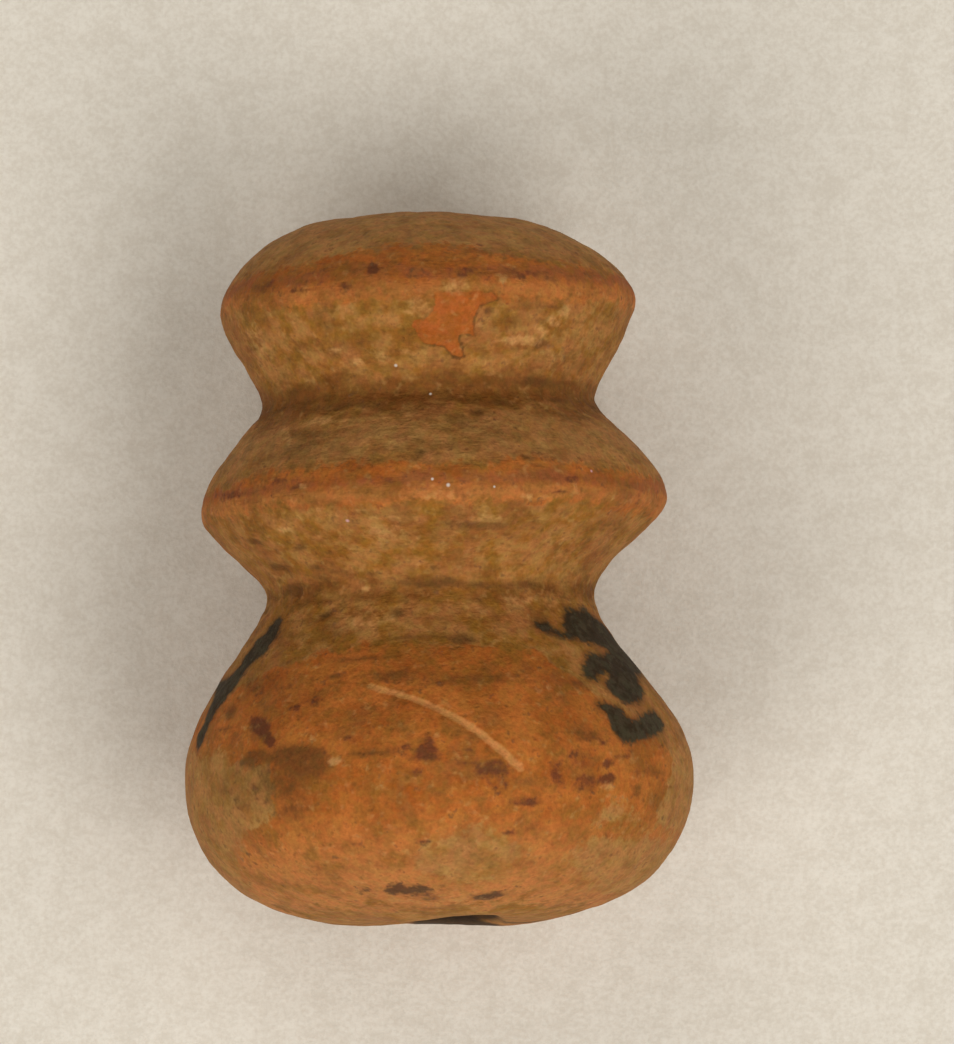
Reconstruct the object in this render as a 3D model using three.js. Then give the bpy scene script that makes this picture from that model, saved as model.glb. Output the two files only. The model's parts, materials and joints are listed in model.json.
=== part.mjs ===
// A small spindle whorl of fired clay, built up by hand round a straight bore: a broad belly, a
// sharp middle ridge between two pinched necks, and a low domed crown with a brim of its own.
// It lies on its side, on its belly and its middle ridge, crown end lowest.
//
// Millimetres. Heights run along the whorl's own axis, from the foot's flat (0) to the crown's.
// Turns run round that axis in degrees: 0 is the +X side, 90 the top as it lies, 270 underneath.
import * as THREE from "three";

// The rings that the outline passes through. Each is parallel to the axis where it crosses its
// ring; above and below say how far it keeps to that direction. Shift moves a ring's centre along
// +X, and lean lifts its +X side by that much for each millimetre from the axis, both from the
// hand that shaped it.
const BELLY = { radius: 9.0, height: 5.1, below: 3.95, above: 2.2, shift: 0, lean: 0 };
const WAIST = { radius: 5.74, height: 11.4, below: 1.2, above: 0.92, shift: -0.1, lean: 0 };
const RIDGE = { radius: 8.22, height: 14.6, below: 1.0, above: 1.47, shift: 0.06, lean: 0.016 };
const NECK = { radius: 5.83, height: 18.18, below: 0.58, above: 0.85, shift: -0.08, lean: 0 };
const BRIM = { radius: 7.36, height: 21.62, below: 1.2, above: 1.1, shift: 0, lean: 0.013 };
const RINGS = [BELLY, WAIST, RIDGE, NECK, BRIM];

// The foot and the crown end in small flats round the mouths of the bore. Spread says how far
// the foot's underside and the crown's top stay level beyond their flats. Each mouth of the bore
// flares out over a short length, eased by a little halfway.
const FOOT = { radius: 3.2, height: 0, spread: 2.25 };
const CROWN = { radius: 2.7, height: 24.74, spread: 2.1 };
const BORE = { radius: 1.6, mouth: 1.85, flare: 1.3, ease: 0.06 };

// Hollows and swellings pressed in by the fingers: where each is, how far it rises (or sinks,
// below zero) and how far it reaches round the whorl and along it.
const LUMPS = [
  { turn: 180, height: 9.3, rise: 0.2, round: 55, along: 1.9 },
  { turn: 0, height: 9.3, rise: -0.22, round: 55, along: 1.9 },
  { turn: 0, height: 12.9, rise: -0.15, round: 45, along: 0.8 },
  { turn: 180, height: 19.9, rise: -0.1, round: 40, along: 1.2 },
  { turn: 0, height: 20.8, rise: -0.12, round: 40, along: 0.7 },
  { turn: 180, height: 23.4, rise: 0.22, round: 40, along: 1.0 },
  { turn: 0, height: 24.0, rise: -0.1, round: 50, along: 0.8 },
  { turn: 118, height: 7.6, rise: -0.1, round: 25, along: 1.6 },
  { turn: 230, height: 3.4, rise: -0.14, round: 30, along: 1.8 },
  { turn: 305, height: 8.4, rise: 0.1, round: 30, along: 1.8 },
  { turn: 250, height: 16.4, rise: -0.1, round: 30, along: 1.0 },
  { turn: 290, height: 22.9, rise: 0.1, round: 30, along: 0.8 },
];

// Lying on its side, it has worn two small flats: this much is gone from each.
const WEAR = 0.2;

const SEGMENTS = 72;
const FLANK_STEPS = 9;
const UNDERSIDE_STEPS = 9;
const DOME_STEPS = 8;

const CLAY = new THREE.MeshStandardMaterial({ color: 0xa8703a, roughness: 0.85, metalness: 0 });

// One side of the outline between two rings, leaving and meeting them parallel to the axis.
function flank(lower, upper) {
  return new THREE.CubicBezierCurve(
    new THREE.Vector2(lower.radius, lower.height),
    new THREE.Vector2(lower.radius, lower.height + lower.above),
    new THREE.Vector2(upper.radius, upper.height - upper.below),
    new THREE.Vector2(upper.radius, upper.height),
  );
}

// The rounding between a level end flat and the ring next to it.
function shoulder(end, ring, pull) {
  return new THREE.CubicBezierCurve(
    new THREE.Vector2(end.radius, end.height),
    new THREE.Vector2(end.radius + end.spread, end.height),
    new THREE.Vector2(ring.radius, ring.height + pull),
    new THREE.Vector2(ring.radius, ring.height),
  );
}

// The bore, from the crown's mouth down to the foot's, opening out a little at each.
function borePoints() {
  const top = CROWN.height;
  return [
    new THREE.Vector2(BORE.mouth, top),
    new THREE.Vector2(BORE.radius + BORE.ease, top - BORE.flare / 2),
    new THREE.Vector2(BORE.radius, top - BORE.flare),
    new THREE.Vector2(BORE.radius, top / 2),
    new THREE.Vector2(BORE.radius, BORE.flare),
    new THREE.Vector2(BORE.radius + BORE.ease, BORE.flare / 2),
    new THREE.Vector2(BORE.mouth, FOOT.height),
  ];
}

// The whole outline, up the outside and back down the bore, closing on its first point.
function outline() {
  const points = shoulder(FOOT, BELLY, -BELLY.below).getPoints(UNDERSIDE_STEPS);
  for (let i = 0; i + 1 < RINGS.length; i += 1) {
    points.push(...flank(RINGS[i], RINGS[i + 1]).getPoints(FLANK_STEPS).slice(1));
  }
  points.push(...shoulder(CROWN, BRIM, BRIM.above).getPoints(DOME_STEPS).reverse().slice(1));
  points.push(...borePoints());
  points.push(points[0].clone());
  return points;
}

// A ring's shift or lean at any height, eased from ring to ring and gone at the two end flats.
function eased(name, height) {
  const ends = [{ height: FOOT.height, [name]: 0 }, ...RINGS, { height: CROWN.height, [name]: 0 }];
  const next = ends.findIndex((ring) => ring.height > height);
  if (next < 1) {
    return 0;
  }
  const [low, high] = [ends[next - 1], ends[next]];
  const way = THREE.MathUtils.smoothstep(height, low.height, high.height);
  return THREE.MathUtils.lerp(low[name], high[name], way);
}

// How far the lumps lift the surface at one place.
function lumpRise(turn, height) {
  let rise = 0;
  for (const lump of LUMPS) {
    const round = THREE.MathUtils.euclideanModulo(turn - lump.turn + 180, 360) - 180;
    const near = (round / lump.round) ** 2 + ((height - lump.height) / lump.along) ** 2;
    rise += lump.rise * Math.exp(-near);
  }
  return rise;
}

// True on the outer surface, and not in the bore or on the flats round its mouths.
function isOutside(radius, height) {
  const end = height < BELLY.height ? FOOT : CROWN;
  const rounding = 0.001;
  return radius > end.radius + rounding;
}

// Shapes the turned form by hand: lumps, shifted rings and leaning rings. The bore and the flats
// round its mouths stay true.
function shapeByHand(geometry) {
  const place = geometry.getAttribute("position");
  for (let i = 0; i < place.count; i += 1) {
    const [x, height, z] = [place.getX(i), place.getY(i), place.getZ(i)];
    const radius = Math.hypot(x, z);
    if (isOutside(radius, height)) {
      const turn = THREE.MathUtils.radToDeg(Math.atan2(z, x));
      const grown = 1 + lumpRise(turn, height) / radius;
      place.setX(i, x * grown + eased("shift", height));
      place.setY(i, height + x * eased("lean", height));
      place.setZ(i, z * grown);
    }
  }
}

// Lays the whorl down: its axis dips from the belly to the ridge until both touch the ground,
// and the ground takes the worn flats.
function layDown(geometry) {
  const dip = Math.atan2(BELLY.radius - RIDGE.radius, RIDGE.height - BELLY.height);
  geometry.rotateX(-dip);
  geometry.computeBoundingBox();
  const ground = geometry.boundingBox.min.z + WEAR;
  const place = geometry.getAttribute("position");
  for (let i = 0; i < place.count; i += 1) {
    place.setZ(i, Math.max(place.getZ(i) - ground, 0));
  }
  geometry.computeBoundingBox();
  const middle = geometry.boundingBox.getCenter(new THREE.Vector3());
  geometry.translate(-middle.x, -middle.y, 0);
}

// The whorl, as one solid with a bore right through.
function makeWhorl() {
  const geometry = new THREE.LatheGeometry(outline(), SEGMENTS);
  shapeByHand(geometry);
  layDown(geometry);
  geometry.computeVertexNormals();
  const whorl = new THREE.Mesh(geometry, CLAY);
  whorl.name = "whorl";
  return whorl;
}

const part = new THREE.Group();
part.add(makeWhorl());
export default part;
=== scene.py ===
import json
import math

import bmesh
import bpy
import numpy as np
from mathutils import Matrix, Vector, noise


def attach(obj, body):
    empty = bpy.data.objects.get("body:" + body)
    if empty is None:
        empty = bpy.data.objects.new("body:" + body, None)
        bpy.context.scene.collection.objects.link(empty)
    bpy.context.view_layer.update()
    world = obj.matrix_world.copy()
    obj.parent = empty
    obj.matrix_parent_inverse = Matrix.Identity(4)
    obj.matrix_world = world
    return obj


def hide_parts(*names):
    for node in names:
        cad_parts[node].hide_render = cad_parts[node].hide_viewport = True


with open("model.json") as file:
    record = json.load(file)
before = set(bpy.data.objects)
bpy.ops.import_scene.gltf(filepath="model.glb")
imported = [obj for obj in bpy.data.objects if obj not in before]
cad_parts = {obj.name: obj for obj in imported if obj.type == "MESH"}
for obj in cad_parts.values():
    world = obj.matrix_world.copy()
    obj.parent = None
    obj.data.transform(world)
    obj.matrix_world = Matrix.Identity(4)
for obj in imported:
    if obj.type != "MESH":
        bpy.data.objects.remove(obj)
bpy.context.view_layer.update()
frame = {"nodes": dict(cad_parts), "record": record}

# ---- The whorl ----------------------------------------------------------------------------
# One lump of low-fired clay, shaped by hand round a stick that left the straight bore. Orange
# slip was brushed on its crests and its belly, then streaks of black paint. It lies on its side.
#
# Heights are in millimetres along its own axis, 0 at the foot. Turns are degrees round the axis:
# 0 is the +X side, 90 the top as it lies, 180 the -X side and 270 underneath.

MM = 0.001
mounts = {mount["name"]: mount for mount in frame["record"]["mounts"]}
AXIS = np.array(mounts["crown_face"]["axis"], float)
SIDE = np.array((1.0, 0.0, 0.0))
UP = np.cross(SIDE, AXIS)

# The foot's mount is a point on its flat, this far above the middle of the bore.
FOOT_MOUNT_RISE = 2.5 * MM
FOOT = np.array(mounts["foot_face"]["pos_m"]) - FOOT_MOUNT_RISE * UP


def apart(turn, other):
    """Degrees from one turn to another, the short way round."""
    return (turn - other + 180) % 360 - 180


class Skin:
    """Where each vertex of the clay is: its turn, its height and its distance from the axis.

    Round holds the same in millimetres to the side, up and along the axis. Degree is how many
    millimetres of skin one degree of turn takes up.
    """

    def __init__(self, mesh):
        place = np.empty(len(mesh.vertices) * 3)
        mesh.vertices.foreach_get("co", place)
        self.place = place.reshape(-1, 3)
        from_foot = (self.place - FOOT) / MM
        side, up = from_foot @ SIDE, from_foot @ UP
        self.height = from_foot @ AXIS
        self.radius = np.hypot(side, up)
        self.turn = np.degrees(np.arctan2(up, side)) % 360
        self.degree = np.maximum(self.radius, 1.0) * math.pi / 180
        self.round = np.stack((side, up, self.height), axis=1)

    def inside(self, outline):
        """Millimetres inside a closed outline of (turn, height) corners, below 0 outside it."""
        first = outline[0][0]
        x, y = apart(self.turn, first) * self.degree, self.height
        nearest, within = np.full(len(x), 1e9), np.zeros(len(x), bool)
        for (turn_a, low), (turn_b, high) in zip(outline, outline[1:] + outline[:1]):
            xa, xb = (turn_a - first) * self.degree, (turn_b - first) * self.degree
            run, rise = xb - xa, high - low
            way = ((x - xa) * run + (y - low) * rise) / (run ** 2 + rise ** 2 + 1e-12)
            way = np.clip(way, 0, 1)
            nearest = np.minimum(nearest, np.hypot(x - xa - way * run, y - low - way * rise))
            if rise:
                within ^= ((low > y) != (high > y)) & (x < xa + (y - low) * run / rise)
        return np.where(within, nearest, -nearest)

    def from_line(self, line):
        """Millimetres to a line of (turn, height) points, and how far along it, 0 to 1."""
        first = line[0][0]
        x, y = apart(self.turn, first) * self.degree, self.height
        nearest, reached = np.full(len(x), 1e9), np.zeros(len(x))
        for i, ((turn_a, low), (turn_b, high)) in enumerate(zip(line, line[1:])):
            xa, run = (turn_a - first) * self.degree, (turn_b - turn_a) * self.degree
            rise = high - low
            way = np.clip(((x - xa) * run + (y - low) * rise) / (run ** 2 + rise ** 2), 0, 1)
            gap = np.hypot(x - xa - way * run, y - low - way * rise)
            reached = np.where(gap < nearest, (i + way) / (len(line) - 1), reached)
            nearest = np.minimum(nearest, gap)
        return nearest, reached

    def covered(self, marks):
        """How far soft oval marks cover the skin, 0 to the strength of each.

        Each mark is (turn, height, half its length round the whorl and half its width along it,
        both in mm, tilt in degrees, strength).
        """
        cover = np.zeros(len(self.turn))
        for turn, height, length, width, tilt, strength in marks:
            across, along = apart(self.turn, turn) * self.degree, self.height - height
            c, s = math.cos(math.radians(tilt)), math.sin(math.radians(tilt))
            far = ((across * c + along * s) / length) ** 2 + ((along * c - across * s) / width) ** 2
            cover = np.maximum(cover, strength * np.exp(-0.7 * far ** 1.5))
        return cover

    def level(self, points):
        """The height of an edge that runs round the whorl through (turn, height) points."""
        turns, heights = zip(*sorted(points))
        return np.interp(self.turn, turns, heights, period=360)

    def grain(self, size, stretch=1.0, seed=0.0):
        """Smooth unevenness from -1 to 1, in lumps of that size in mm, drawn out round the axis."""
        scale = np.array((1 / stretch, 1 / stretch, 1)) / size
        return np.array([noise.noise(Vector(p)) for p in self.round * scale + seed])


def eased(value, low, high):
    """0 below low and 1 above high, easing in between."""
    way = np.clip((value - low) / (high - low), 0, 1)
    return way * way * (3 - 2 * way)


# The mesh: the solid's own surface with its corners merged and its four-sided patches whole
# again, smoothed twice.
MERGE = 0.002 * MM
SMOOTHING = 2


def splits_patch(edge):
    """True for an edge that only cuts a four-sided patch of the solid in two."""
    length = edge.calc_length()
    return len(edge.link_faces) == 2 and all(
        length >= max(side.calc_length() for side in face.edges) for face in edge.link_faces
    )


work = bmesh.new()
work.from_mesh(frame["nodes"]["whorl"].data)
for layer in list(work.loops.layers.uv.values()):
    work.loops.layers.uv.remove(layer)
bmesh.ops.remove_doubles(work, verts=work.verts, dist=MERGE)
bmesh.ops.dissolve_edges(work, edges=[edge for edge in work.edges if splits_patch(edge)])
shape = bpy.data.meshes.new("whorl_clay")
work.to_mesh(shape)
work.free()

whorl = bpy.data.objects.new("whorl_clay", shape)
bpy.context.collection.objects.link(whorl)
smoothing = whorl.modifiers.new("Smoothing", "SUBSURF")
smoothing.levels = smoothing.render_levels = SMOOTHING
shape = bpy.data.meshes.new_from_object(
    whorl.evaluated_get(bpy.context.evaluated_depsgraph_get())
)
shape.name = "whorl_clay_smooth"
whorl.modifiers.clear()
whorl.data = shape

# Black paint: short ragged strokes down the slope above the belly. Each outline here and below is
# a run of (turn, height) corners.
BLACK_RIGHT_TOP = [
    (57.5, 9.95), (55, 10.15), (51, 10.15), (49.5, 9.8), (45, 9.75), (45, 10.0), (41.5, 10.4),
    (40, 10.7), (36, 10.65), (30, 10.65), (25, 10.6), (21, 10.4), (15, 10.3), (11, 9.9), (6, 9.5),
    (2, 9.0), (6, 8.5), (15, 8.3), (20, 8.2), (23, 8.0), (24.5, 7.7), (27, 7.45), (30, 7.25),
    (33, 7.15), (37, 7.2), (40, 7.35), (41.5, 7.6), (41.5, 7.9), (38, 8.05), (37.5, 8.25),
    (39, 8.25), (42, 8.1), (44, 7.95), (47, 8.0), (47.5, 8.2), (45, 8.45), (43, 8.75),
    (41, 8.95), (37, 8.98), (31, 9.02), (27.5, 9.15), (31, 9.3), (37, 9.35), (40, 9.45), (44, 9.45),
    (50, 9.55), (55, 9.7),
]
BLACK_RIGHT_LOW = [
    (49, 7.05), (47.5, 7.2), (46, 7.1), (44, 7.1), (41, 7.0), (40.5, 6.75), (38.5, 6.55),
    (35, 6.6), (31, 6.85), (28, 6.95), (25, 6.95), (23.5, 6.8), (23.5, 6.55), (26, 6.3),
    (30, 6.1), (35, 5.95), (40, 5.8), (43, 5.75), (45.5, 5.9), (46.5, 6.2), (46, 6.5),
    (46.3, 6.7), (48, 6.9),
]
BLACK_LEFT = [
    (154, 10.5), (151, 10.65), (148.5, 10.5), (146.5, 10.2), (145.5, 9.9), (146.5, 9.4),
    (148, 9.2), (150.5, 9.05), (152.5, 8.7), (154, 8.45), (152.5, 8.05), (155, 7.9), (156, 7.6),
    (157.5, 7.45), (158.5, 7.0), (158.5, 6.7), (159, 6.3), (161, 5.95), (163.5, 6.2),
    (165.5, 6.5), (165.5, 6.75), (163.5, 7.0), (165, 7.4), (167, 7.9), (172, 8.1), (178, 8.3),
    (178, 8.55), (170, 8.55), (163, 8.6), (160, 8.9), (159.5, 9.3), (159, 9.75), (156, 10.1),
]


def repeated(outline, by, up=0):
    """The same outline again, further round the whorl and up it."""
    return [(turn + by, height + up) for turn, height in outline]


BLACK = [BLACK_RIGHT_TOP, BLACK_RIGHT_LOW, BLACK_LEFT]
BLACK += [repeated(BLACK_LEFT, by=86), repeated(BLACK_RIGHT_TOP, by=262)]

# Orange slip: a band round the brim and one round the middle ridge, each from its low edge to its
# high one, a coat over most of the belly, and a scrap of slip left under the brim.
BRIM_LOW = [
    (15, 21.35), (40, 21.3), (55, 21.12), (88, 21.15), (105, 21.15), (128, 21.1), (136, 21.3),
    (150, 21.45), (180, 21.45), (240, 21.2), (300, 21.3),
]
BRIM_HIGH = [
    (15, 22.3), (30, 22.3), (45, 22.5), (60, 22.75), (75, 23.0), (90, 23.2), (105, 23.2),
    (118, 22.85), (130, 22.6), (145, 22.55), (170, 22.4), (230, 22.7), (300, 22.5),
]
RIDGE_LOW = [
    (15, 13.85), (40, 13.9), (50, 14.05), (75, 14.1), (110, 14.08), (130, 14.2), (150, 14.12),
    (180, 14.0), (240, 14.15), (300, 13.95),
]
RIDGE_HIGH = [
    (15, 15.15), (35, 15.3), (55, 15.4), (67, 15.6), (80, 15.35), (90, 15.4), (104, 15.6),
    (115, 15.55), (135, 15.45), (150, 15.2), (180, 15.1), (240, 15.4), (300, 15.3),
]
BELLY_TOP = [
    (18, 4.4), (24, 5.2), (30, 6.0), (40, 6.8), (47, 7.3), (51, 8.0), (56, 8.5), (61, 9.05),
    (90, 9.2), (100, 9.4), (115, 9.3), (128, 8.95), (140, 8.6), (150, 8.2), (170, 7.4), (215, 8.6),
    (250, 8.9), (280, 8.0), (320, 6.0), (350, 4.6),
]
BELLY_LOW = 0.35
SCRAP = [
    (94.8, 20.3), (93.5, 20.5), (91, 20.5), (88.5, 20.8), (87.8, 21.1), (88, 21.4), (72, 21.4),
    (70, 21.15), (75.5, 20.9), (76.5, 20.5), (76.5, 20.1), (76, 19.95), (79, 20.0),
    (80.5, 19.95), (80.7, 19.75), (79.3, 19.55), (78.8, 19.3), (80, 19.2), (82.5, 19.3),
    (85, 19.6), (88, 19.65), (91, 19.7), (92.8, 19.95), (93.5, 20.2),
]

# Places where the slip has worn off the belly and the tan clay shows, two of them underneath.
BARE_LEFT = [
    (128.5, 4.7), (131, 5.3), (138, 5.3), (143, 5.6), (150, 6.05), (158, 5.9), (170, 6.3),
    (190, 6.5), (200, 5.0), (195, 2.0), (185, 0.6), (165, 0.9), (155, 1.5), (148, 2.4),
    (140, 2.9), (133, 3.3), (129, 3.8),
]
BARE_OVAL = [
    (97, 1.95), (93, 2.35), (88, 2.75), (83, 3.0), (79, 2.95), (75, 2.65), (70, 2.45),
    (67.5, 2.05), (70, 1.55), (74, 1.1), (85, 0.95), (92, 1.1), (96, 1.5),
]
BARE_STRIP = [
    (52.5, 3.0), (50, 3.35), (46, 3.65), (42, 3.5), (38, 3.3), (33, 3.0), (38, 2.92), (46, 2.95),
]
BARE_RIGHT_LOW = [
    (50, 2.5), (53, 2.1), (56.5, 1.8), (53, 1.45), (47, 1.15), (38, 0.8), (20, 0.6), (0, 0.6),
    (-25, 0.8), (-40, 1.5), (-30, 2.4), (0, 2.5), (28, 2.6), (33, 2.62), (42, 2.58),
]
BARE_RIGHT_TOP = [
    (26, 2.8), (30, 2.95), (30, 3.6), (28, 4.3), (25, 5.0), (22, 5.6), (18, 6.0), (8, 6.4),
    (-10, 6.2), (-25, 5.0), (-30, 3.5), (-15, 2.8), (10, 2.75),
]
BARE = [BARE_LEFT, BARE_OVAL, BARE_STRIP, BARE_RIGHT_LOW, BARE_RIGHT_TOP]
BARE += [repeated(BARE_OVAL, by=168), repeated(BARE_OVAL, by=218, up=2.6)]

# Maroon blotches where the slip was burnt or laid on thick.
BLOTCHES = [
    (136, 6.65, 0.6, 0.3, 25, 1.15), (131.5, 6.15, 0.55, 0.2, 32, 1.1),
    (92.5, 5.38, 0.55, 0.28, 0, 1.0), (91.8, 5.75, 0.2, 0.28, 0, 0.85),
    (77.5, 4.8, 0.7, 0.3, 0, 0.95), (83, 4.95, 0.5, 0.15, 0, 0.8), (82.8, 5.45, 0.18, 0.14, 0, 0.8),
    (95, 4.75, 0.27, 0.13, 0, 0.8), (110, 6.0, 0.27, 0.16, 0, 0.75),
    (96.8, 5.7, 0.22, 0.15, 0, 0.7), (70.5, 3.72, 0.7, 0.2, 0, 0.8), (76, 4.15, 0.4, 0.2, 0, 0.5),
    (63, 4.6, 0.32, 0.65, 0, 0.65), (55.5, 4.35, 0.55, 0.38, 0, 0.8),
    (49.3, 4.43, 0.36, 0.15, 0, 1.3), (44.5, 4.6, 0.45, 0.1, -10, 0.7),
    (48, 5.1, 0.7, 0.14, -20, 0.8), (43, 5.35, 0.7, 0.15, -15, 0.7), (57.5, 5.2, 0.6, 0.42, 0, 0.5),
    (59.5, 4.85, 0.3, 0.1, 0, 0.7), (50, 5.7, 0.5, 0.13, -20, 0.7), (73, 2.7, 0.3, 0.13, 0, 0.8),
    (150, 6.65, 0.8, 0.12, 5, 0.6), (126, 7.2, 0.24, 0.14, 0, 0.8),
    (120.3, 7.35, 0.26, 0.13, 0, 0.8), (94, 2.45, 0.35, 0.12, 0, 0.5), (111, 2.4, 0.3, 0.1, 0, 0.6),
    (104.8, 22.25, 0.25, 0.2, 0, 0.9), (112, 21.75, 0.3, 0.1, 0, 0.7),
    (119.5, 22.4, 0.4, 0.15, 0, 0.6), (141, 22.0, 0.9, 0.25, 0, 0.6),
    (128, 21.7, 0.5, 0.12, 0, 0.7), (54, 14.88, 0.35, 0.1, 0, 0.9), (57, 14.42, 0.35, 0.08, 0, 0.9),
    (131, 15.1, 0.5, 0.15, 0, 0.7), (124.5, 14.8, 0.3, 0.12, 0, 0.7),
    (151, 14.8, 1.0, 0.18, 0, 0.7), (99, 14.85, 0.4, 0.12, 0, 0.7), (33, 14.45, 1.0, 0.15, 0, 0.5),
    (78, 22.1, 0.8, 0.2, 0, 0.6), (62, 22.05, 0.9, 0.2, 0, 0.5), (230, 5.6, 0.8, 0.3, 20, 0.9),
    (275, 6.9, 0.6, 0.25, -20, 0.9), (325, 4.6, 0.9, 0.3, 10, 0.8),
]

# Soft brown marks: soil stains on the slip and the clay, and painted shade in the pits and along
# the two necks.
SOIL_STAINS_AND_SHADE = [
    (123.5, 5.5, 1.3, 0.36, 3, 1.25), (119.5, 5.1, 1.0, 0.45, 0, 0.95),
    (134, 5.48, 0.8, 0.28, -5, 1.0), (126.5, 4.6, 1.2, 0.9, 0, 0.75), (125, 3.6, 0.8, 0.3, 0, 0.75),
    (139, 4.5, 1.4, 0.8, 0, 0.42), (146, 4.6, 0.55, 0.25, 0, 0.6), (139.5, 3.9, 0.4, 0.22, 0, 0.65),
    (141, 4.95, 0.5, 0.15, 0, 0.55), (134, 4.55, 0.45, 0.2, 0, 0.65),
    (149.2, 7.2, 0.4, 0.27, 30, 0.9), (144, 8.1, 1.0, 0.3, 25, 0.65),
    (104, 5.5, 1.05, 0.16, 0, 0.7), (101.5, 8.15, 0.9, 0.22, 0, 0.75),
    (80, 7.95, 2.2, 0.2, -2, 0.65), (112.5, 8.82, 1.0, 0.14, 0, 0.75),
    (117, 8.22, 0.35, 0.1, 0, 0.7), (52, 7.8, 0.55, 0.2, 0, 0.7), (35, 4.8, 1.0, 0.22, 0, 0.7),
    (39.5, 4.15, 0.28, 0.27, 0, 0.8), (32, 3.75, 0.45, 0.3, 0, 0.6), (54, 6.0, 0.9, 0.3, 8, 0.7),
    (95, 8.3, 1.2, 0.15, 0, 0.45), (135, 7.9, 1.6, 0.5, 10, 0.4), (89, 11.45, 1.0, 0.16, 0, 0.8),
    (97, 11.5, 0.8, 0.16, 0, 0.6), (70, 11.35, 1.2, 0.14, 0, 0.7), (55, 11.4, 0.6, 0.14, 0, 0.7),
    (75, 13.3, 1.3, 0.14, -2, 0.7), (85, 13.35, 0.7, 0.13, 0, 0.6),
    (147.8, 13.2, 0.5, 0.13, 10, 0.8), (148, 12.3, 0.6, 0.18, 10, 0.8),
    (147, 11.5, 0.6, 0.25, 0, 0.8), (132, 12.85, 0.5, 0.12, -15, 0.7),
    (131, 12.15, 0.4, 0.12, 5, 0.7), (124, 12.0, 0.4, 0.08, 0, 0.6),
    (101.5, 10.4, 0.25, 0.18, 0, 0.8), (82, 9.4, 0.5, 0.18, 0, 1.0), (95, 9.5, 1.2, 0.14, 0, 0.7),
    (87, 9.5, 1.0, 0.16, 0, 0.7), (125, 9.9, 0.8, 0.3, 20, 0.5), (92.8, 15.83, 0.2, 0.12, 0, 1.0),
    (65.5, 15.6, 0.2, 0.12, 0, 0.9), (75.5, 17.28, 0.28, 0.13, 0, 1.0),
    (82, 16.9, 0.5, 0.2, 20, 0.6), (128, 16.2, 0.9, 0.4, 0, 0.6), (124, 16.7, 0.5, 0.15, 0, 0.6),
    (113, 16, 0.3, 0.15, 0, 0.5), (53, 19.72, 0.28, 0.16, 0, 1.0), (55.5, 20.5, 0.2, 0.1, 0, 0.6),
    (52, 20.95, 0.5, 0.1, 0, 0.6), (72.5, 20.75, 0.18, 0.13, 0, 0.8), (74, 22.9, 0.6, 0.12, 0, 0.6),
    (66, 17.65, 0.8, 0.1, 0, 0.7), (40, 17.85, 0.6, 0.1, 0, 0.7), (128, 10.5, 0.32, 0.16, -15, 1.0),
    (115, 17.7, 1.6, 0.14, 0, 0.6), (50, 18.5, 1.2, 0.2, 0, 0.7), (110, 19.9, 0.9, 0.3, 0, 0.5),
    (118, 20.4, 0.6, 0.25, 0, 0.4), (205, 19.4, 1.2, 0.3, 0, 0.6), (285, 16.6, 1.4, 0.3, 0, 0.6),
    (330, 12.6, 1.0, 0.25, 0, 0.6),
]

# Black-brown marks on the foot's edge.
STAINS = [
    (103, 0.88, 0.42, 0.19, 0, 1.0), (97, 0.84, 0.48, 0.21, 0, 1.0),
    (93.5, 0.58, 0.42, 0.1, 0, 0.8), (75, 0.62, 0.62, 0.11, -3, 1.15),
    (113, 0.9, 0.35, 0.1, 0, 0.6), (232, 1.0, 0.6, 0.2, 0, 0.9),
]

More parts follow.
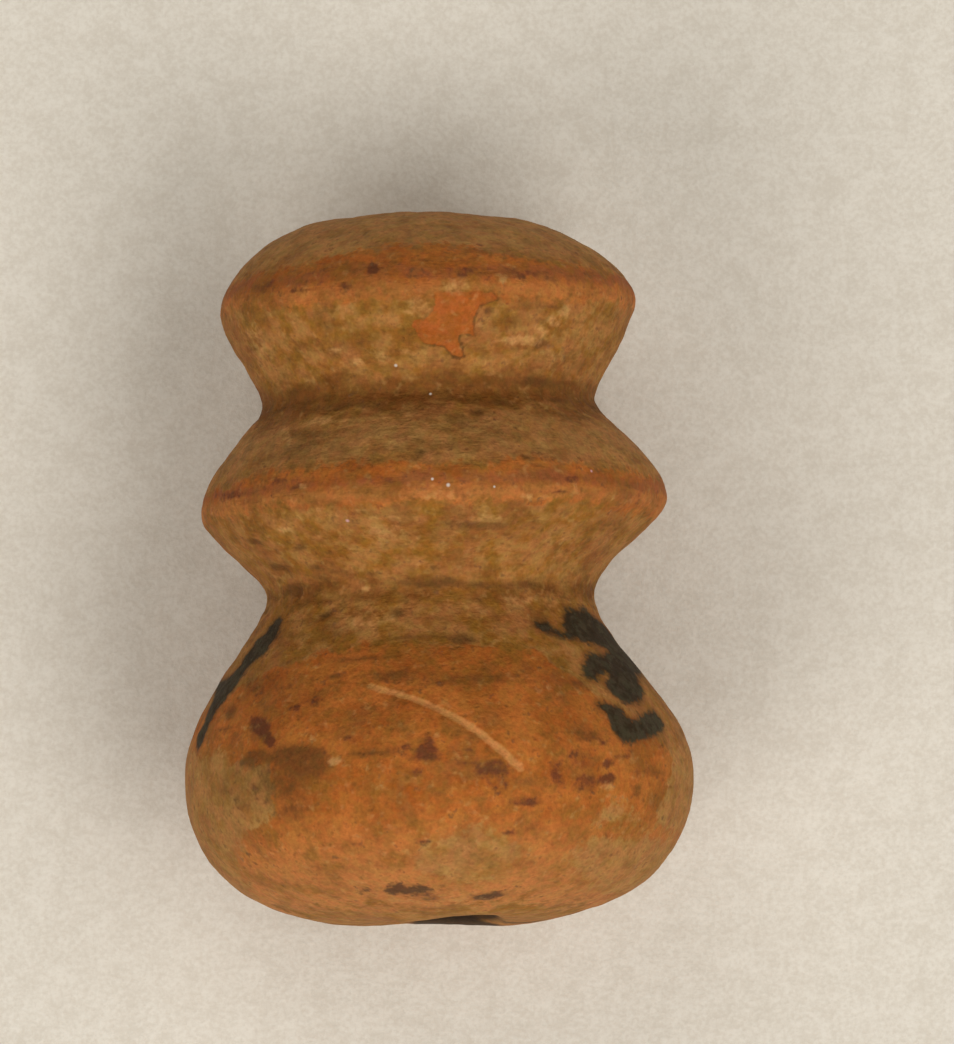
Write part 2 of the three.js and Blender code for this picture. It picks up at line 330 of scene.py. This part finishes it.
# Pale scuffs where the surface is rubbed.
SCUFFS = [
    (48, 20.85, 0.3, 0.22, 0, 0.85), (50.5, 20.45, 0.4, 0.2, 20, 0.8),
    (54, 20.1, 0.45, 0.15, 30, 0.7), (60, 19.8, 0.9, 0.17, 0, 0.95),
    (48.5, 19.45, 0.6, 0.11, 5, 0.75), (43, 20.0, 0.5, 0.12, 0, 0.5),
    (153, 20.0, 0.9, 0.25, 0, 0.65), (149, 20.5, 0.8, 0.2, -20, 0.55),
    (120, 19.6, 0.3, 0.14, 0, 0.9), (112.5, 19.2, 0.38, 0.13, 10, 0.7),
    (105.5, 19.4, 0.5, 0.13, 25, 0.65), (98, 19.45, 0.35, 0.12, 10, 0.6),
    (92.5, 20.9, 0.55, 0.35, 0, 0.75), (114, 21.0, 0.4, 0.15, 0, 0.5),
    (82, 21.55, 0.5, 0.3, 0, 0.75), (69, 21.8, 0.3, 0.12, 0, 0.7), (124, 17.2, 1.2, 0.16, 3, 0.75),
    (136, 16.8, 0.9, 0.17, 35, 0.7), (115, 17.1, 0.5, 0.12, 0, 0.4),
    (103, 13.15, 0.8, 0.28, 0, 0.65), (132.7, 13.45, 0.3, 0.1, 0, 1.1),
    (75, 13.55, 0.6, 0.16, 0, 0.7), (66, 14.25, 0.25, 0.15, 0, 0.75), (111, 10.2, 1.0, 0.4, 0, 0.6),
    (109, 10.55, 0.4, 0.2, 0, 0.5), (59, 10.8, 0.8, 0.22, 0, 0.6), (113.8, 11.35, 0.2, 0.1, 0, 0.9),
    (123, 14.82, 0.17, 0.13, 0, 1.0), (113, 5.25, 0.28, 0.17, 0, 1.15),
    (112, 4.65, 0.25, 0.1, 0, 0.75), (120.5, 6.15, 0.42, 0.11, 30, 0.75),
    (128.5, 7.45, 0.25, 0.1, 0, 0.7), (126, 8.1, 0.45, 0.15, 10, 0.5),
    (124.5, 8.6, 0.4, 0.1, 20, 0.5), (140.5, 6.62, 0.65, 0.1, -5, 0.65),
    (61, 7.6, 0.2, 0.12, 0, 0.85), (67, 8.25, 0.2, 0.12, 0, 0.8), (83.5, 5.25, 0.16, 0.12, 0, 0.8),
    (82.5, 3.35, 0.35, 0.12, -30, 0.65), (79, 3.1, 0.35, 0.1, 20, 0.65),
    (49.5, 4.2, 0.32, 0.12, 0, 0.95), (44.5, 3.9, 0.3, 0.3, 0, 0.4),
    (93, 2.65, 0.16, 0.12, 0, 0.75), (83, 2.15, 0.3, 0.12, 0, 0.65), (110, 2.6, 0.4, 0.12, 0, 0.5),
    (105.5, 3.3, 0.26, 0.14, 0, 0.65), (85.5, 4.25, 0.6, 0.25, 0, 0.4),
    (103, 4.2, 0.5, 0.3, 0, 0.45), (88, 14.3, 1.6, 0.2, 0, 0.5), (90, 0.55, 2.4, 0.2, 0, 0.4),
    (240, 20.2, 0.9, 0.2, 0, 0.7),
]

# A fine scratch down the belly through to the lighter clay, a little wider towards its end.
SCRATCH = [
    (107, 7.85), (104, 7.7), (100, 7.55), (95, 7.3), (90, 6.97), (86, 6.65), (82, 6.25),
    (78, 5.75), (75, 5.35), (72.5, 4.95), (71.5, 4.85),
]
SCRATCH_HALF_WIDTH = 0.13
SCRATCH_WIDENS_BY = 0.05


def scratched(skin):
    """How deep each place lies in the scratch: 1 on its line, 0 at its edge and below outside."""
    gap, way = skin.from_line(SCRATCH)
    half_width = SCRATCH_HALF_WIDTH + SCRATCH_WIDENS_BY * eased(way, 0.2, 0.9)
    return 1 - gap / half_width


# The finest work gets a finer mesh: the scratch, the scrap's edge and the paint's edges.
FINE_BAND = 0.2


def is_fine(skin):
    """True for each vertex close to one of those edges."""
    near = skin.from_line(SCRATCH)[0] < FINE_BAND
    for outline in [SCRAP] + BLACK:
        near |= np.abs(skin.inside(outline)) < FINE_BAND
    return near


fine = is_fine(Skin(shape))
work = bmesh.new()
work.from_mesh(shape)
work.verts.ensure_lookup_table()
fine_edges = [edge for edge in work.edges if all(fine[vertex.index] for vertex in edge.verts)]
bmesh.ops.subdivide_edges(work, edges=fine_edges, cuts=1, use_grid_fill=True)
work.to_mesh(shape)
work.free()

# The relief that the hand, the tool and wear left on the clay, in mm: slow waves all over, a grain
# that is deeper in the two necks, marks drawn out round the flanks, and uneven crests. It fades
# out towards the bore, which stays round.
WAIST = 11.3
RIDGE = 14.6
NECK = 18.1
BRIM = 21.62
SLOW_WAVES = 0.05
SHORT_WAVES = 0.035
GRAIN = 0.024
GRAIN_IN_NECKS = 0.03
DRAG = 0.01
DRAG_ON_FLANKS = 0.025
CREST_WAVES = 0.06
skin = Skin(shape)


def near_ring(height, width):
    """1 at that height, all round the whorl, and fading out over that width in mm."""
    return np.exp(-((skin.height - height) / width) ** 2)


outside = eased(skin.radius, 2.2, 3.0) * eased(skin.height + skin.radius, 2.6, 3.6)
necks = near_ring(NECK, 0.75) + 0.7 * near_ring(WAIST, 0.6)
flanks = eased(skin.height, 9.0, 10.5) * (1 - eased(skin.height, 21.0, 22.0))
relief = SLOW_WAVES * skin.grain(3.0) + SHORT_WAVES * skin.grain(1.1, seed=7.3)
relief += (GRAIN + GRAIN_IN_NECKS * necks) * skin.grain(0.45, seed=3.1)
relief += (DRAG + DRAG_ON_FLANKS * flanks) * skin.grain(0.5, stretch=5.0, seed=11.0)
for crest in (RIDGE, BRIM):
    relief += CREST_WAVES * near_ring(crest, 0.6) * skin.grain(1.3, stretch=1.6, seed=crest)

# Small hollows left by grit that fell out or was pressed in: (turn, height, radius, depth).
PITS = [
    (148.3, 13.2, 0.22, 0.1), (146.5, 12.15, 0.3, 0.1), (144.5, 11.4, 0.35, 0.12),
    (133.5, 12.75, 0.3, 0.07), (128, 10.5, 0.25, 0.1), (53, 19.7, 0.28, 0.12),
    (75, 17.35, 0.22, 0.08), (92.5, 15.8, 0.14, 0.07), (72.5, 20.75, 0.16, 0.07),
    (46, 12.7, 0.3, 0.06), (118.5, 13.0, 0.25, 0.06), (104.5, 22.3, 0.2, 0.05),
    (65, 15.65, 0.18, 0.06), (127, 16.85, 0.3, 0.06), (84, 9.3, 0.3, 0.05), (57, 14.4, 0.2, 0.04),
    (235, 16.9, 0.3, 0.08), (285, 12.4, 0.25, 0.07), (320, 6.5, 0.3, 0.08), (250, 6.8, 0.25, 0.06),
    (215, 20.3, 0.25, 0.06), (340, 19.4, 0.25, 0.06),
]
for turn, height, radius, depth in PITS:
    away = np.hypot(apart(skin.turn, turn) * skin.degree, skin.height - height)
    relief -= depth * (1 - eased(away, 0.0, radius))

# How far each place is inside the slip, the scrap, the black paint and the scratch. The slip and
# the scrap stand a little proud, and the scratch is cut in.
SLIP_THICKNESS = 0.02
SCRAP_THICKNESS = 0.05
SCRATCH_DEPTH = 0.07
brim_band = np.minimum(skin.height - skin.level(BRIM_LOW), skin.level(BRIM_HIGH) - skin.height)
ridge_band = np.minimum(skin.height - skin.level(RIDGE_LOW), skin.level(RIDGE_HIGH) - skin.height)
belly_coat = np.minimum(skin.height - BELLY_LOW, skin.level(BELLY_TOP) - skin.height)
slip = np.max([brim_band, ridge_band, belly_coat], axis=0)
scrap = skin.inside(SCRAP)
black = np.max([skin.inside(outline) for outline in BLACK], axis=0)
scratch = scratched(skin)
relief += SLIP_THICKNESS * eased(slip, -0.1, 0.1)
relief += SCRAP_THICKNESS * eased(scrap, -0.06, 0.06)
relief -= SCRATCH_DEPTH * eased(scratch, 0, 1)

# The foot's mouth has an uneven upper lip, standing out on its left and worn back on its right:
# (side, worn back by). Both ends stand out in lumps: (side, rise, reach, out). All are in mm.
LIP_WEAR = [
    (-2.6, 0), (-1.3, -0.13), (-0.5, -0.07), (0.5, 0.06), (1.2, 0.15), (1.8, 0.18), (2.2, 0.02),
]
LIP_LUMPS = [(2.7, -2.2, 1.6, 0.16), (1.2, -3.0, 1.4, 0.06), (-3.1, -2.0, 1.2, 0.1)]
CROWN_LUMPS = [(-4.15, 1.5, 1.0, 0.15), (-5.5, 0.5, 0.8, 0.17), (2.4, 2.0, 1.5, -0.08)]
near_foot = 1 - eased(skin.height, 0.5, 1.6)
near_crown = eased(skin.height, 21.8, 23.2)
side, rise = skin.round[:, 0], skin.round[:, 1]
upper_lip = eased(rise, -0.8, 1.0) * (1 - eased(skin.radius, 2.9, 4.4)) * near_foot
back = np.interp(side, *zip(*LIP_WEAR)) * upper_lip


def standing_out(lumps):
    """How far the lumps stand out of an end. Each reaches three times as far up as sideways."""
    total = np.zeros(len(side))
    for lump_side, lump_rise, reach, out in lumps:
        away = (side - lump_side) ** 2 + ((rise - lump_rise) / 3) ** 2
        total += out * np.exp(-away / reach ** 2)
    return total


back -= standing_out(LIP_LUMPS) * near_foot
back += standing_out(CROWN_LUMPS) * near_crown

# Every vertex moves along its normal by the relief, and along the axis at the two ends. What lies
# on the paper stays there.
RESTS_BELOW = 0.01 * MM
normals = np.empty(len(shape.vertices) * 3)
shape.vertex_normals.foreach_get("vector", normals)
moved = skin.place + normals.reshape(-1, 3) * (relief * outside * MM)[:, None]
moved += AXIS * (back * MM)[:, None]
level = skin.place[:, 2]
moved[:, 2] = np.where(level < RESTS_BELOW, level, np.maximum(moved[:, 2], 0))
shape.vertices.foreach_set("co", moved.ravel())
shape.update()

# The slip is thickest along a line that wanders a little above each crest.
ridge_heart = 14.85 + 0.15 * skin.grain(3.0, seed=5.0)
brim_heart = 22.1 + 0.2 * skin.grain(3.0, seed=9.0)

# Painted shade darkens the foot just below the bore, and a crease to the right of it. Each edge is
# given by the two ends of its fade, in mm to the side or up.
MOUTH_SHADE_LEFT = (-1.4, -0.9)
MOUTH_SHADE_RIGHT = (1.9, 2.1)
MOUTH_SHADE_TOP = (-1.6, -1.2)
CREASE_RISE = -0.5
CREASE_HALF_WIDTH = 0.3
CREASE_END = (3.2, 3.9)
mouth_painted_shade = eased(side, *MOUTH_SHADE_LEFT) * (1 - eased(side, *MOUTH_SHADE_RIGHT)) * (1 - eased(rise, *MOUTH_SHADE_TOP))
mouth_painted_shade *= (1 - eased(skin.radius, 4.2, 5.0)) * (1 - eased(skin.height, 0.5, 0.9))
crease = np.exp(-((rise - CREASE_RISE) / CREASE_HALF_WIDTH) ** 2)
crease *= eased(side, *MOUTH_SHADE_RIGHT) * (1 - eased(side, *CREASE_END))
mouth_painted_shade = np.maximum(mouth_painted_shade, 0.8 * crease * (1 - eased(skin.height, 0.4, 0.8)))

# What the colours follow, kept on the mesh. Crown is painted light: paler clay on the crown and
# on the slope above the ridge, which face away from the lamps. The slip is palest on the foot's
# edge and just below the crests. Drawn is how strongly streaks show, faintly on the belly.
KEPT = {
    "slip": slip,
    "scrap": scrap,
    "scrap_low": 1 - eased(skin.height + 0.08 * (skin.turn - 85), 19.9, 20.6),
    "black": black,
    "scratch": scratch,
    "thick": near_ring(ridge_heart, 0.3) + near_ring(brim_heart, 0.38),
    "neck_dirt_and_shade": necks,
    "bore": 1 - eased(skin.radius, 1.9, 2.15) * eased(skin.radius, 1.75, 1.95),
    "crown": eased(skin.height, 22.3, 23.2) + near_ring(16.5, 1.0),
    "paler_slip": np.max([
        1 - eased(skin.height, 0.6, 4.0),
        0.6 * near_ring(14.4, 0.35),
        0.55 * near_ring(21.5, 0.35),
    ], axis=0),
    "drawn": 0.25 + 0.75 * eased(skin.height, 8.5, 10.5),
    "mouth_painted_shade": mouth_painted_shade,
    "bare": np.max([skin.inside(outline) for outline in BARE], axis=0),
    "soil_stain_and_shade": skin.covered(SOIL_STAINS_AND_SHADE),
    "blotch": skin.covered(BLOTCHES),
    "stain": skin.covered(STAINS),
    "scuff": skin.covered(SCUFFS),
}
for name, values in KEPT.items():
    layer = shape.attributes.new(name, "FLOAT", "POINT")
    layer.data.foreach_set("value", values.astype(np.float32))

# Streaks that run round the whorl read the skin as if it lay on a cylinder of this radius in mm.
RING = 7.0
on_cylinder = skin.round * (RING / np.maximum(skin.radius, 0.5))[:, None]
on_cylinder[:, 2] = skin.height
layer = shape.attributes.new("rings", "FLOAT_VECTOR", "POINT")
layer.data.foreach_set("vector", on_cylinder.ravel().astype(np.float32))
for face in shape.polygons:
    face.use_smooth = True

# The fired clay's colours and finish.
finish = bpy.data.materials.new("slipped_clay")
finish.use_nodes = True
tree = finish.node_tree
tree.nodes.clear()


def tone(red, green, blue):
    """A colour from its usual 0 to 255 values, as the shader takes it."""
    channels = [value / 255 for value in (red, green, blue)]
    return [v / 12.92 if v < 0.04 else ((v + 0.055) / 1.055) ** 2.4 for v in channels] + [1.0]


def wire(kind, sockets, output=0, **settings):
    """Adds a node, fills its sockets with numbers, colours or other outputs, and returns one."""
    made = tree.nodes.new("ShaderNode" + kind)
    for name, value in settings.items():
        setattr(made, name, value)
    for name, value in sockets.items():
        if isinstance(value, bpy.types.NodeSocket):
            tree.links.new(value, made.inputs[name])
        else:
            made.inputs[name].default_value = value
    return made.outputs[output]


def calc(operation, *values):
    """Arithmetic on numbers and outputs."""
    return wire("Math", dict(enumerate(values)), operation=operation)


def kept(name):
    """One of the values kept on the mesh."""
    return wire("Attribute", {}, output="Fac", attribute_name=name)


def ramp(value, low, high):
    """0 below low and 1 above high, easing in between."""
    sockets = {"Value": value, "From Min": low, "From Max": high}
    return wire("MapRange", sockets, interpolation_type="SMOOTHSTEP")


def blend(amount, under, over, how="MIX"):
    """One colour mixed into another by an amount from 0 to 1."""
    sockets = {0: amount, 6: under, 7: over}
    return wire("Mix", sockets, output=2, data_type="RGBA", blend_type=how)


def laid(under, colour, cover, strength):
    """A colour laid over another where its cover is, at that strength."""
    return blend(calc("MULTIPLY", cover, strength), under, colour)


place = wire("TexCoord", {}, output="Object")
rings = wire("Attribute", {}, output="Vector", attribute_name="rings")
PER_MM = 1 / MM


def speckle(size, detail=2.0, roughness=0.5, seed=0.0):
    """Cloudy noise in lumps of that size in mm."""
    spread = wire("Mapping", {"Vector": place, "Scale": (PER_MM,) * 3, "Location": (seed,) * 3})
    sockets = {"Vector": spread, "Scale": 1 / size, "Detail": detail, "Roughness": roughness}
    return wire("TexNoise", sockets)


def drawn(size, stretch, detail=2.0, seed=0.0):
    """Noise drawn out round the whorl, as a hand or a brush leaves it."""
    scale = (1 / stretch, 1 / stretch, 1)
    spread = wire("Mapping", {"Vector": rings, "Scale": scale, "Location": (seed,) * 3})
    sockets = {"Vector": spread, "Scale": 1 / size, "Detail": detail, "Roughness": 0.6}
    return wire("TexNoise", sockets)


def worn(cover, noise_value, amount):
    """A cover or an edge with noise eaten into it."""
    return calc("ADD", cover, calc("MULTIPLY", calc("SUBTRACT", noise_value, 0.5), amount))


mottle = speckle(0.9, detail=3, roughness=0.6, seed=4.0)
grit = speckle(0.3, detail=2, roughness=0.6, seed=6.0)
dust = speckle(0.13, detail=1, seed=8.0)
streak = drawn(0.45, stretch=3.0, detail=3, seed=1.0)
line = drawn(0.22, stretch=5.0, detail=2, seed=21.0)
hue = speckle(1.6, detail=4, roughness=0.65, seed=30.0)
patch = speckle(1.9, detail=5, roughness=0.62, seed=12.0)

CLAY_TAN = tone(174, 124, 66)
CLAY_OCHRE = tone(154, 104, 36)
CLAY_ROSE = tone(158, 100, 56)
CLAY_BROWN = tone(118, 70, 24)
CLAY_PALE_AND_PAINTED_LIGHT = tone(190, 142, 88)
SLIP_ORANGE = tone(190, 114, 48)
SLIP_RED = tone(160, 86, 26)
SLIP_PALE = tone(194, 134, 80)
SLIP_THICK = tone(136, 76, 46)
BLOTCH = tone(96, 52, 32)
SHADE = tone(94, 60, 26)
STAIN = tone(70, 48, 36)
BLACK_GREEN = tone(62, 57, 42)
BLACK_BROWN = tone(48, 38, 20)
SCUFF = tone(206, 158, 98)
SCRATCH_CLAY = tone(206, 144, 84)
SCRAP_ORANGE = tone(182, 100, 42)
NECK_DIRT_AND_SHADE = tone(108, 64, 14)
BORE_PAINTED_SHADE = tone(44, 32, 20)

# Bare clay: tan, ochre and rosy, browner in streaks round the whorl. Dirt and painted shade darken
# it in the two necks.
clay = blend(ramp(mottle, 0.38, 0.62), CLAY_OCHRE, CLAY_TAN)
clay = laid(clay, CLAY_ROSE, ramp(hue, 0.45, 0.62), 0.55)
# Painted light: paler clay on the crown and on the slope above the ridge, which face away from the
# lamps.
clay = laid(clay, CLAY_PALE_AND_PAINTED_LIGHT, kept("crown"), 0.4)
streaks = calc("MULTIPLY", ramp(streak, 0.42, 0.72), kept("drawn"))
clay = laid(clay, CLAY_BROWN, streaks, 0.42)
lines = calc("MULTIPLY", ramp(line, 0.54, 0.72), kept("drawn"))
clay = laid(clay, CLAY_BROWN, lines, 0.15)
# Dirt and painted shade darken the two necks.
neck_dirt_and_shade = ramp(worn(kept("neck_dirt_and_shade"), streak, 1.5), 0.1, 1.0)
clay = laid(clay, NECK_DIRT_AND_SHADE, neck_dirt_and_shade, 0.75)
bare = ramp(worn(worn(kept("bare"), mottle, 1.3), grit, 0.9), -0.16, 0.26)
clay = laid(clay, CLAY_PALE_AND_PAINTED_LIGHT, bare, 0.25)

# Slip: brushed on thin, so the clay shows through in patches and at its ragged edges.
coat = blend(ramp(patch, 0.36, 0.62), SLIP_RED, SLIP_ORANGE)
# The slip is paler on the foot's edge and just below the two crests.
coat = laid(coat, SLIP_PALE, kept("paler_slip"), 0.6)
coat = laid(coat, CLAY_BROWN, streaks, 0.35)
thick = ramp(worn(worn(kept("thick"), patch, 2.2), grit, 2.0), 0.3, 1.2)
coat = laid(coat, SLIP_THICK, thick, 0.7)
slip_edge = worn(worn(kept("slip"), mottle, 1.1), grit, 0.7)
thin = ramp(worn(worn(0.5, patch, 1.0), mottle, 1.0), 0.32, 0.52)
slip_cover = calc("MULTIPLY", ramp(slip_edge, -0.14, 0.18), calc("SUBTRACT", 1.0, bare))
slip_cover = calc("MULTIPLY", slip_cover, calc("MULTIPLY_ADD", thin, 0.5, 0.45))
surface = blend(slip_cover, clay, coat)

# The scrap under the brim is thicker, with a dark rim along its low side.
scrap_cover = ramp(worn(kept("scrap"), grit, 0.25), -0.03, 0.05)
scrap_coat = blend(ramp(grit, 0.4, 0.65), SCRAP_ORANGE, SLIP_RED)
surface = laid(surface, scrap_coat, scrap_cover, 0.92)
from_rim = worn(calc("ABSOLUTE", kept("scrap")), grit, 0.25)
scrap_rim = calc("SUBTRACT", 1.0, ramp(from_rim, 0.0, 0.08))
surface = laid(surface, SHADE, calc("MULTIPLY", scrap_rim, kept("scrap_low")), 0.5)

# Grains of pale and dark grit.
pale_grit = ramp(speckle(0.34, detail=1.5, seed=2.0), 0.58, 0.8)
surface = laid(surface, SCUFF, pale_grit, 0.3)
dark_grit = ramp(speckle(0.3, detail=1.5, seed=13.0), 0.6, 0.84)
surface = laid(surface, SHADE, dark_grit, 0.4)

# Blotches, shades, stains and scuffs, each eaten into by the grain.
speck = calc("ADD", calc("MULTIPLY", grit, 0.6), calc("MULTIPLY", mottle, 0.4))
# Soil stains, and painted shade in the pits and along the two necks.
soil_stain_and_shade = ramp(worn(kept("soil_stain_and_shade"), speck, 2.4), 0.08, 0.95)
surface = laid(surface, SHADE, soil_stain_and_shade, 0.75)
blotch = ramp(worn(kept("blotch"), speck, 2.4), 0.2, 0.9)
surface = laid(surface, BLOTCH, blotch, 0.85)
stain = ramp(worn(kept("stain"), speck, 3.0), 0.2, 0.95)
surface = laid(surface, STAIN, stain, 0.85)
scuff = ramp(worn(kept("scuff"), speck, 2.2), 0.25, 1.1)
surface = laid(surface, SCUFF, scuff, 0.6)
scratch_cover = ramp(worn(kept("scratch"), grit, 0.7), -0.15, 0.6)
surface = laid(surface, SCRATCH_CLAY, scratch_cover, 0.75)
ragged_black = worn(worn(kept("black"), grit, 0.5), mottle, 0.35)
surface = laid(surface, SHADE, ramp(ragged_black, -0.26, 0.06), 0.6)
paint = blend(ramp(worn(mottle, grit, 0.8), 0.38, 0.62), BLACK_BROWN, BLACK_GREEN)
surface = laid(surface, paint, ramp(ragged_black, -0.08, 0.12), 0.95)
# Painted shade: the inside of the bore is darkened almost to black.
surface = laid(surface, BORE_PAINTED_SHADE, kept("bore"), 0.9)
# Painted shade: the foot just below the bore and the crease beside it are darkened almost to black.
surface = laid(surface, BORE_PAINTED_SHADE, kept("mouth_painted_shade"), 0.9)

# The grain of the clay darkens and lightens everything. It is 1 on average.
GRAIN_LEAST = 0.15
grain = calc("MULTIPLY_ADD", grit, 0.75, calc("MULTIPLY_ADD", dust, 0.45, GRAIN_LEAST))
grain = calc("MULTIPLY_ADD", mottle, 0.5, grain)
surface = blend(1.0, surface, wire("CombineColor", {0: grain, 1: grain, 2: grain}), "MULTIPLY")

# Here rosier, there greener, grain by grain.
TINT_WARM = (1.06, 0.97, 0.98, 1.0)
TINT_COOL = (0.96, 1.02, 0.96, 1.0)
tinge = speckle(0.35, detail=2, seed=17.0)
surface = blend(1.0, surface, blend(ramp(tinge, 0.38, 0.62), TINT_WARM, TINT_COOL), "MULTIPLY")

# Painted glints: a few mineral grains catch the light, painted in as pale specks. Each is (turn,
# height, radius in mm, colour), and lies on the nearest vertex of the outer skin: the bore's
# vertices count as far off.
GLINT_WHITE = tone(236, 232, 228)
GLINT_PINK = tone(232, 184, 196)
GLINTS = [
    (101, 18.98, 0.07, GLINT_WHITE), (89.3, 18.03, 0.06, GLINT_WHITE),
    (85.5, 14.65, 0.08, GLINT_WHITE), (75, 14.6, 0.05, GLINT_WHITE),
    (89.5, 14.9, 0.06, GLINT_WHITE), (47.5, 15.15, 0.06, GLINT_PINK), (112, 13.6, 0.08, GLINT_PINK),
]
GLINT_STRENGTH = 0.7
FAR_OFF = 9.0
for turn, height, radius, colour in GLINTS:
    away = np.hypot(apart(skin.turn, turn) * skin.degree, skin.height - height)
    nearest = np.argmin(away + FAR_OFF * (outside < 1))
    spot = tuple(float(v) for v in moved[nearest])
    gap = wire("VectorMath", {0: place, 1: spot}, output="Value", operation="DISTANCE")
    near = calc("SUBTRACT", 1.0, ramp(gap, 0.2 * radius * MM, 1.2 * radius * MM))
    surface = laid(surface, colour, near, GLINT_STRENGTH)

# The finest relief is a bump, and the finish is matt, a little smoother in patches.
BUMP_HEIGHT = 0.05 * MM
ROUGHNESS_LEAST = 0.72
ROUGHNESS_MOST = 0.9
SPECULAR = 0.2
lift = calc("MULTIPLY_ADD", dust, 0.35, grit)
lift = calc("MULTIPLY_ADD", streaks, -0.3, calc("MULTIPLY_ADD", lines, -0.2, lift))
lift = calc("MULTIPLY_ADD", pale_grit, 0.2, calc("MULTIPLY_ADD", dark_grit, -0.4, lift))
bump = wire("Bump", {"Height": lift, "Distance": BUMP_HEIGHT, "Strength": 1.0})
roughness = wire("MapRange", {"Value": mottle, "From Min": 0.3, "From Max": 0.7,
                              "To Min": ROUGHNESS_LEAST, "To Max": ROUGHNESS_MOST})
shader = tree.nodes.new("ShaderNodeBsdfPrincipled")
tree.links.new(surface, shader.inputs["Base Color"])
tree.links.new(roughness, shader.inputs["Roughness"])
tree.links.new(bump, shader.inputs["Normal"])
shader.inputs["Specular IOR Level"].default_value = SPECULAR
output = tree.nodes.new("ShaderNodeOutputMaterial")
tree.links.new(shader.outputs[0], output.inputs["Surface"])
shape.materials.clear()
shape.materials.append(finish)

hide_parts("whorl")
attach(whorl, "root")

# ---- The paper it lies on -----------------------------------------------------------------
# A plain pale sheet, far larger than the whorl. It is the stage and no part of the object.
PAPER_SIZE = 1.2
PAPER_DARK = tone(229, 223, 213)
PAPER_PALE = tone(243, 239, 231)
PAPER_BUMP = 0.05 * MM
PAPER_ROUGHNESS = 0.95
PAPER_SPECULAR = 0.1
work = bmesh.new()
bmesh.ops.create_grid(work, x_segments=1, y_segments=1, size=PAPER_SIZE / 2)
paper_mesh = bpy.data.meshes.new("paper")
work.to_mesh(paper_mesh)
work.free()
paper = bpy.data.objects.new("paper", paper_mesh)
bpy.context.collection.objects.link(paper)
sheet = bpy.data.materials.new("paper")
sheet.use_nodes = True
tree = sheet.node_tree
tree.nodes.clear()
place = wire("TexCoord", {}, output="Object")
pulp = speckle(1.0, detail=3, roughness=0.6, seed=3.0)
fibre = speckle(0.18, detail=3, roughness=0.7, seed=5.0)
mixed = calc("MULTIPLY_ADD", fibre, 1.6, pulp)
tint = blend(ramp(mixed, 0.9, 1.7), PAPER_DARK, PAPER_PALE)
lift = calc("ADD", pulp, calc("MULTIPLY", fibre, 0.5))
bump = wire("Bump", {"Height": lift, "Distance": PAPER_BUMP, "Strength": 1.0})
shader = tree.nodes.new("ShaderNodeBsdfPrincipled")
tree.links.new(tint, shader.inputs["Base Color"])
tree.links.new(bump, shader.inputs["Normal"])
shader.inputs["Roughness"].default_value = PAPER_ROUGHNESS
shader.inputs["Specular IOR Level"].default_value = PAPER_SPECULAR
output = tree.nodes.new("ShaderNodeOutputMaterial")
tree.links.new(shader.outputs[0], output.inputs["Surface"])
paper_mesh.materials.append(sheet)

# ---- The light ----------------------------------------------------------------------------
# Two wide soft lamps from the foot's end, left and right, two fainter ones, and pale light all
# round.
LAMPS_AWAY = 0.6
LAMP_SIZE = 0.35
LAMP_COLOUR = (1.0, 0.955, 0.885)
ROOM_COLOUR = (1.0, 0.95, 0.8, 1.0)
ROOM_STRENGTH = 0.13


def lamp(name, bearing, rise, power):
    """A lamp that looks at the whorl. Bearing 0 is +X and 90 is +Y; rise is above the paper.

    Both are in degrees, and the power is in watts.
    """
    data = bpy.data.lights.new(name, "AREA")
    data.shape = "DISK"
    data.size = LAMP_SIZE
    data.energy = power
    data.color = LAMP_COLOUR
    made = bpy.data.objects.new(name, data)
    level, up = math.radians(bearing), math.radians(rise)
    towards = Vector((math.cos(level) * math.cos(up), math.sin(level) * math.cos(up), math.sin(up)))
    made.location = towards * LAMPS_AWAY
    made.rotation_euler = towards.to_track_quat("Z", "Y").to_euler()
    bpy.context.collection.objects.link(made)


lamp("lamp_left", 225, 45, 1.15)
lamp("lamp_right", 315, 52, 1.3)
lamp("lamp_side", 5, 63, 0.65)
lamp("lamp_back", 110, 52, 0.5)
room = bpy.data.worlds.new("room")
room.use_nodes = True
background = room.node_tree.nodes["Background"]
background.inputs["Color"].default_value = ROOM_COLOUR
background.inputs["Strength"].default_value = ROOM_STRENGTH
bpy.context.scene.world = room

# ---- The camera ---------------------------------------------------------------------------
# It looks straight down with a long lens, very slightly turned.
LENS = 285.4
SENSOR = 36
CAMERA_PLACE = (1.55 * MM, 1.66 * MM, 300 * MM)
CAMERA_TURN = math.radians(-1.41)
camera_data = bpy.data.cameras.new("camera")
camera_data.lens = LENS
camera_data.sensor_width = SENSOR
camera_data.clip_start = 0.01
camera_data.clip_end = 10
camera = bpy.data.objects.new("camera", camera_data)
camera.location = CAMERA_PLACE
camera.rotation_euler = (0, 0, CAMERA_TURN)
bpy.context.collection.objects.link(camera)
bpy.context.scene.camera = camera
bpy.context.scene.view_settings.view_transform = "Standard"
bpy.context.scene.view_settings.look = "None"
